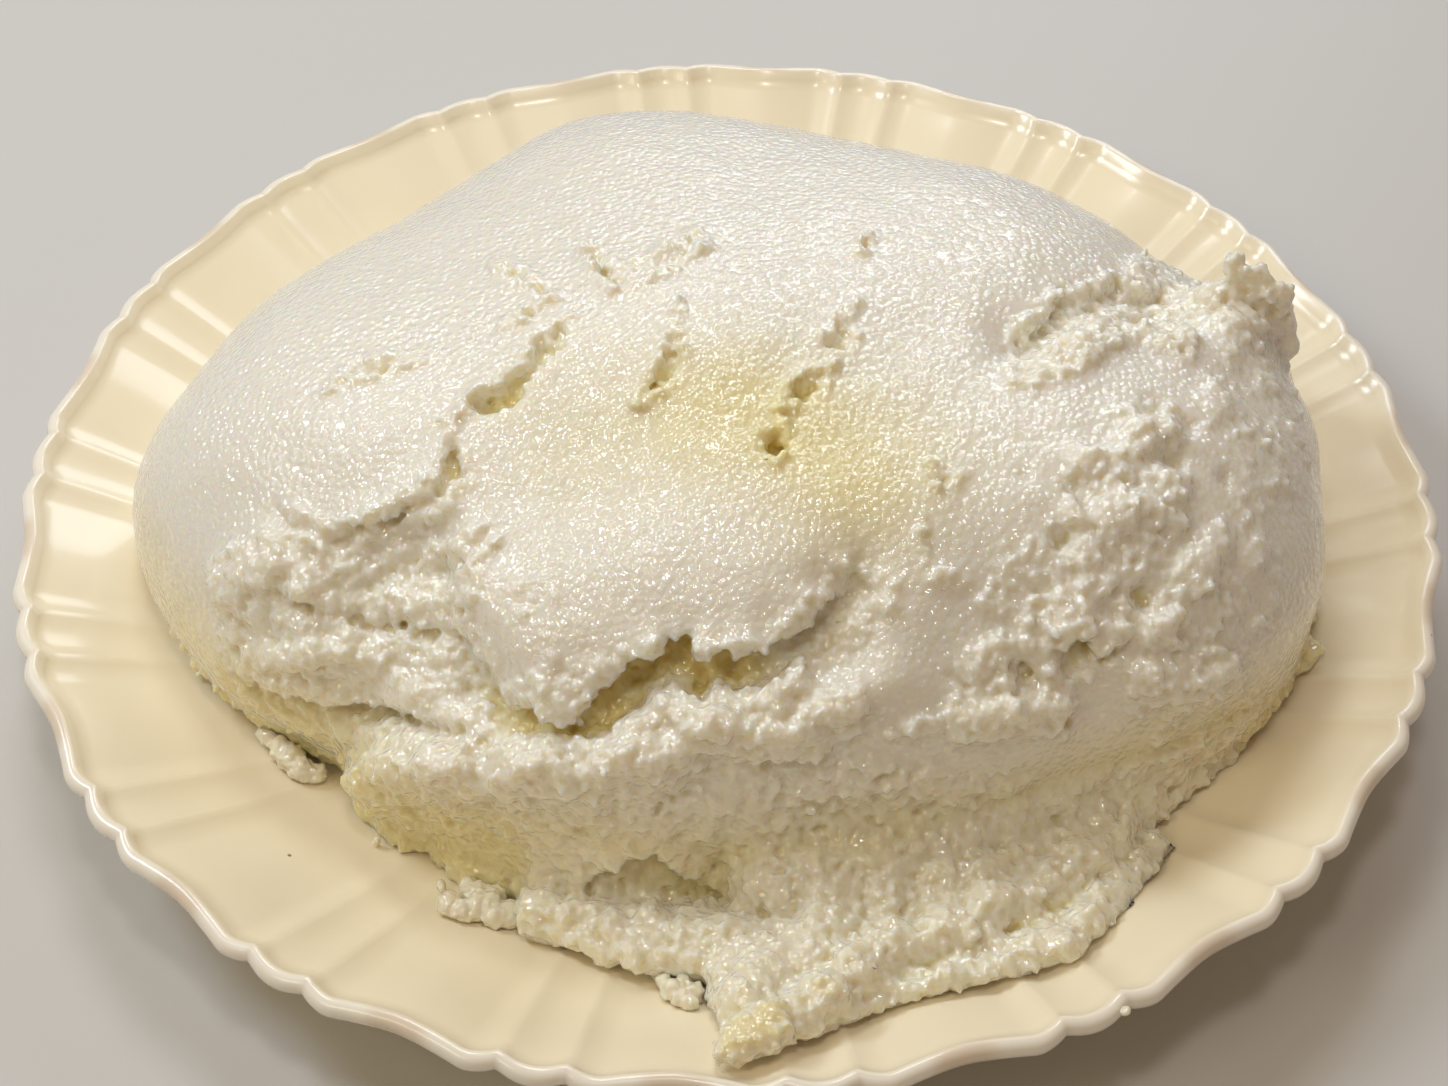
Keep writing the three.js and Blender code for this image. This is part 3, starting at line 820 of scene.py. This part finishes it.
def crumb_beads(heap):
    """Centres and radii of the soft beads that the torn crumb is made of."""
    luck = np.random.default_rng(41)
    points, normals = points_of(heap), outward(heap)
    towards_front = normals @ FRONT > -0.3
    points, normals = points[towards_front], normals[towards_front]
    bare = smoothly(torn_share(points, normals @ FRONT), 0.15, 0.6)
    edge = torn_edges(across_and_climb(points)) * smoothly(normals @ FRONT, -0.3, 0.05)
    above = height_above_plate(points)
    azimuth = azimuth_of(points)
    brow = between(normals[:, 2], -0.35, 0.3, 0.15)
    fringe = skirt_share(points) * brow * (above > 2) * (radius_of(points) > FRINGE_REACH)
    hem = between(azimuth, *HEM_AZIMUTHS, 2) * brow * between(above, 0.8, 5, 0.5)
    rags = between(azimuth, *RAGGED_AZIMUTHS, 2) * brow * between(above, 0.8, 3.5, 0.5)
    scatter = luck.normal(size=points.shape)
    centres, radii = [], []

    def add(spots, radius, out, along=0, way=DOWN_THE_LEAN):
        middle = points[spots] + (radius * out)[:, None] * normals[spots] + np.reshape(radius * along, (-1, 1)) * way
        centres.append(middle + BEAD_SCATTER * scatter[spots])
        radii.append(radius)

    crowd = smoothly(rough(points, 4.5, 16) + 0.5 * rough(points, 2, 17), -0.6, 0.4)
    spots = pick_spots(BEAD_SHARE * bare * (0.3 + 0.7 * crowd), luck)
    radius = 0.5 + 0.4 * luck.random(len(spots)) ** 2
    add(spots, radius, 0.9 * bare[spots] - 0.9 + luck.uniform(-0.2, 0.9, len(spots)) * crowd[spots])
    spots = pick_spots(0.9 * edge, luck)
    radius = 0.5 + 0.35 * luck.random(len(spots))
    add(spots, radius, luck.uniform(-0.3, 0.4, len(spots)), luck.uniform(0, 1.6, len(spots)))
    for place, share, steps in ((fringe, 0.14, 3), (hem, 0.22, 4), (rags, 0.12, 3)):
        spots = pick_spots(share * place, luck)
        radius = luck.uniform(0.5, 0.95, len(spots))
        turn = luck.uniform(-0.6, 0.6, len(spots))
        flat = normals[spots] * (1, 1, 0)
        sideways = np.stack([-flat[:, 1], flat[:, 0], -0.4 * np.ones(len(spots))], 1)
        way = flat + turn[:, None] * sideways + (0, 0, -0.2)
        for step in range(steps):
            add(spots, radius * (1 - 0.18 * step), np.zeros(len(spots)), 0.8 * step, way)
    return np.concatenate(centres), np.concatenate(radii)


def add_balls(mesh, centres, radii, fineness):
    """Adds a small uneven ball at each centre, to be melted in by the next remesh."""
    ball = bmesh.new()
    bmesh.ops.create_icosphere(ball, subdivisions=fineness, radius=MM)
    shape = np.array([vertex.co[:] for vertex in ball.verts])
    faces = np.array([[vertex.index for vertex in face.verts] for face in ball.faces])
    ball.free()
    stretch = np.random.default_rng(7).uniform(*BALL_STRETCH, (len(radii), 1, 3))
    places = centres[:, None, :] * MM + shape[None] * radii[:, None, None] * stretch
    corners = faces[None] + (np.arange(len(radii)) * len(shape))[:, None, None]
    cluster = bpy.data.meshes.new("balls")
    cluster.from_pydata(places.reshape(-1, 3).tolist(), [], corners.reshape(-1, 3).tolist())
    mesh.from_mesh(cluster)
    bpy.data.meshes.remove(cluster)


def add_to_heap(heap, centres, radii, fineness):
    mesh = bmesh.new()
    mesh.from_mesh(heap.data)
    add_balls(mesh, centres, radii, fineness)
    mesh.to_mesh(heap.data)
    mesh.free()


def add_lumps(heap, chains, seed):
    """Adds overlapping uneven lumps along each chain."""
    luck = np.random.default_rng(seed)
    centres, radii = [], []
    for chain in chains:
        for start, end in zip(np.array(chain[:-1], float), np.array(chain[1:], float)):
            steps = max(1, round(np.linalg.norm((end - start)[:3]) / (LUMP_SPACING * start[3])))
            along = start + (end - start) * (np.arange(steps + 1) / steps)[:, None]
            jitter = luck.uniform(-LUMP_JITTER, LUMP_JITTER, (steps + 1, 3))
            centres.append(along[:, :3] + jitter * along[:, 3:] * (1, 1, 0.2))
            radii.append(along[:, 3] * luck.uniform(*LUMP_SIZES, steps + 1))
    add_to_heap(heap, np.concatenate(centres), np.concatenate(radii), LUMP_FINENESS)


def thin_out(heap):
    """Brings the heap under the most triangles that a piece may have, mostly at its plain places."""
    share = HEAP_TRIANGLES / (2 * len(heap.data.polygons))
    if share < 1:
        thin = heap.modifiers.new("thin_out", "DECIMATE")
        thin.ratio = share
        thin.vertex_group = "plain"
        thin.vertex_group_factor = PLAIN_FAVOUR
        apply_modifiers(heap)
    heap.vertex_groups.clear()


def warm_heart_and_painted_shade(across, climb):
    """The warmer, more yellow middle of the skin: partly the skin's own tone, and partly painted shade that darkens
    the middle.
    """
    upper = np.exp(-((across - 2) / 14) ** 2 - ((climb - 31) / 11) ** 2)
    lower = np.exp(-((across - 21) / 15) ** 2 - ((climb - 22) / 13) ** 2)
    aside = np.exp(-((across + 24) / 15) ** 2 - ((climb - 27) / 14) ** 2)
    return upper + 0.8 * lower + 0.35 * aside


def recess_of(thing):
    """How far each point lies below the average of the surface round it."""
    blurred = thing.copy()
    bpy.context.scene.collection.objects.link(blurred)
    add_smoothing(blurred, RECESS_ROUNDS)
    final = finished_mesh(blurred)
    bpy.data.objects.remove(blurred)
    calm = read_rows(final.vertices, "co") / MM
    bpy.data.meshes.remove(final)
    return ((calm - points_of(thing)) * outward(thing)).sum(axis=1)


def depth_below(smooth_heap, points):
    """How far each point lies below the heap's smooth outline."""
    depths = []
    for place in (points * MM).tolist():
        spot, normal, _, _ = smooth_heap.find_nearest(place)
        depths.append((spot - Vector(place)).dot(normal) / MM)
    return np.array(depths)


def note_tears(heap, smooth_heap):
    """Keeps each place's tone and painted shade for the finish, yellower and darker in hollows, seams and low in
    front, and how plain it is, for the thinning.
    """
    points, normals = points_of(heap), outward(heap)
    torn = torn_share(points, normals @ FRONT)
    # Painted shade: places sunk below the smooth outline are coloured yellower and darker, as if shade fell in them.
    hollow = smoothly(depth_below(smooth_heap, points), 0.6, 5)
    keep_layer(heap, "warmth_and_painted_shade", hollow + warm_tone_and_painted_shade(points, normals, torn) + painted_seam_shade(heap, torn))
    skin = 0.5 + 0.4 * (1 - smoothly(normals @ FRONT, 0, 0.4))
    plain = np.where(normals[:, 2] < -0.5, 1, np.maximum(skin * (1 - smoothly(torn, 0.1, 0.5)), 0.1))
    group_points(heap, "plain", np.round(plain, 1))


def warm_tone_and_painted_shade(points, normals, torn):
    """Yellow low down in front, which is painted shade, and at the heart of the skin, partly its own tone and partly
    painted shade, with a little tone on torn crumb; unevenly spread.
    """
    # Painted shade: the low front-facing body, turned away from the lights, is coloured yellower and darker.
    low = (1 - smoothly(height_above_plate(points), 4, 34)) * (1 - 0.8 * skirt_share(points))
    front = smoothly(normals @ FRONT, 0.2, 0.7)
    patches = 1 + 0.25 * rough(points, 14, 23)
    spread = 0.05 * torn + 0.5 * low * front + 0.5 * warm_heart_and_painted_shade(*across_and_climb(points)) * (points[:, 2] > 30)
    return patches * spread


def painted_seam_shade(heap, torn):
    """Painted shade and light: yellow in the seams between knobs of crumb, where shade falls, and paler on the knobs.
    """
    recess = recess_of(heap)
    # Painted shade in the seams, and painted light on the knobs.
    seams = 0.7 * smoothly(recess, 0.05, 0.9) - 0.15 * smoothly(-recess, 0.1, 0.8)
    return seams * (0.3 + 0.7 * torn)


def group_points(thing, name, weights):
    group = thing.vertex_groups.new(name=name)
    for weight in np.unique(weights):
        group.add(np.nonzero(weights == weight)[0].tolist(), float(weight), "REPLACE")


def make_heap():
    mesh = bmesh.new()
    mesh.from_mesh(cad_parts["ugali_mound"].data)
    bmesh.ops.remove_doubles(mesh, verts=mesh.verts, dist=CAD_WELD * MM)
    heap = new_object("torn_ugali", mesh)
    coarse = 1
    add_lumps(heap, FOOT, 3)
    remesh(heap, OUTLINE_VOXEL * coarse, OUTLINE_SMOOTHING)
    smooth_heap = BVHTree.FromObject(heap, bpy.context.evaluated_depsgraph_get())
    remesh(heap, CARVING_VOXEL * coarse)
    carve_tears(heap)
    add_lumps(heap, SKIRT_LUMPS + BASE_LUMPS + SHOULDER_LUMPS, 5)
    remesh(heap, LUMPY_VOXEL * coarse, 1)
    swell_crumb(heap)
    add_to_heap(heap, *crumb_beads(heap), BEAD_FINENESS)
    remesh(heap, CRUMB_VOXEL * coarse, 2)
    keep_off_plate(heap, HEAP_CLEARANCE)
    note_tears(heap, smooth_heap)
    thin_out(heap)
    return heap


# Fallen scraps: lumps (x, y, height above the plate, radius).
SCRAPS = {
    "fallen_chunk": [
        (-46.5, -87, 1.2, 2), (-44, -88.5, 1.2, 2), (-41.8, -87.7, 2, 2.2), (-40, -87.3, 2.6, 2.2),
        (-38.7, -89, 1.6, 2.4), (-36.4, -88.5, 1.5, 2.2), (-43.5, -83, 1.8, 1.8), (-41.7, -84.8, 2.4, 2.2),
        (-39.4, -85, 2.4, 2),
    ],
    "fallen_flake": [
        (-82.4, -50.2, 1.8, 1.1), (-81, -51.2, 1.9, 1.5), (-79, -53.2, 2, 2.1), (-77, -55, 2, 2.5),
        (-75.2, -57, 1.6, 2.1), (-74.2, -57.9, 1, 1.4), (-72.3, -57.4, 1.3, 1.6),
    ],
    "fallen_crumb": [
        (-10.2, -104, 1.4, 1.2), (-8.8, -106.3, 1.7, 1.8), (-7.1, -104.8, 1.7, 1.5), (-7.2, -108, 1, 1.8),
        (-5.3, -106.8, 1.4, 1.6), (-6, -109, 0.8, 1.2),
    ],
    "fallen_bits": [
        (-48.5, -81.6, 0.7, 0.8), (62.5, -116.3, 0.9, 0.8), (-95, -36.5, 0.6, 0.7), (-60.5, -72.5, 0.6, 0.7),
    ],
}

SCRAP_CROWD = 9  # beads on a lump of one millimetre's radius
SCRAP_BEAD_RADII = (0.3, 0.65)


def make_scrap(name, lumps):
    """A lumpy torn scrap resting on the plate, its lumps and the small beads over them melted together."""
    luck = np.random.default_rng(len(lumps))
    lumps = np.array(lumps, float)
    lumps[:, 2] += plate_height(radius_of(lumps)) + HEAP_CLEARANCE
    centres, radii = [lumps[:, :3]], [lumps[:, 3]]
    for lump in lumps:
        count = int(SCRAP_CROWD * lump[3] ** 2)
        way = luck.normal(size=(count, 3))
        way /= np.linalg.norm(way, axis=1)[:, None]
        centres.append(lump[:3] + way * lump[3] * 0.95)
        radii.append(luck.uniform(*SCRAP_BEAD_RADII, count))
    mesh = bmesh.new()
    add_balls(mesh, np.concatenate(centres), np.concatenate(radii), LUMP_FINENESS)
    scrap = new_object(name, mesh)
    remesh(scrap, SCRAP_VOXEL, 2)
    keep_off_plate(scrap, SCRAP_CLEARANCE)
    # The scrap's even tone, plus painted shade: yellower and darker in its recesses.
    keep_layer(scrap, "warmth_and_painted_shade", SCRAP_WARMTH + 0.5 * smoothly(recess_of(scrap), 0, 0.6))
    return scrap


def ugali_material(name, glow):
    """Moist cooked maize, lit from within to some millimetres' depth, with a wet glint on every fine grain."""
    material = new_material(name, {
        "Roughness": 0.45, "Subsurface Weight": 0.85, "Subsurface Radius": (1, 0.75, 0.4),
        "Subsurface Scale": glow * MM, "Coat Weight": 1, "Coat Roughness": 0.1, "Coat IOR": 1.75,
    })
    # The base colour reads painted shade from the layer: yellow-brown in recesses and low on the front, paler on
    # knobs.
    tint = add_ramp(material, read_layer(material, "warmth_and_painted_shade"), MAIZE_AND_PAINTED_SHADE)
    link(material, tint, shader_of(material).inputs["Base Color"])
    ripple = add_texture(material, "ShaderNodeTexNoise", {"Scale": 700, "Detail": 0.6, "Distortion": 0.4})
    dots = add_texture(material, "ShaderNodeTexVoronoi", {"Scale": 760})
    rounded = map_range(material, dots.outputs["Distance"], {"From Min": 0.85, "From Max": 0}, "SMOOTHSTEP")
    height = join_numbers(material, "ADD", rounded, ripple.outputs["Fac"])
    add_bump(material, height, GRAIN_RELIEF, "Normal")
    add_bump(material, height, GLINT_RELIEF, "Coat Normal")
    return material


# ---------------------------------------------------------------- the scene

add_camera()
add_studio()
add_floor()

finish_piece(make_plate(), glaze_material(), "cream_glaze", "plate")
boiled_maize = ugali_material("boiled_maize", HEAP_GLOW)
finish_piece(make_heap(), boiled_maize, "ugali", "ugali_mound")
crumbly_maize = ugali_material("crumbly_maize", SCRAP_GLOW)
for scrap_name, scrap_lumps in SCRAPS.items():
    replaced = [] if scrap_name == "fallen_bits" else [scrap_name]
    finish_piece(make_scrap("torn_" + scrap_name, scrap_lumps), crumbly_maize, "ugali", *replaced)
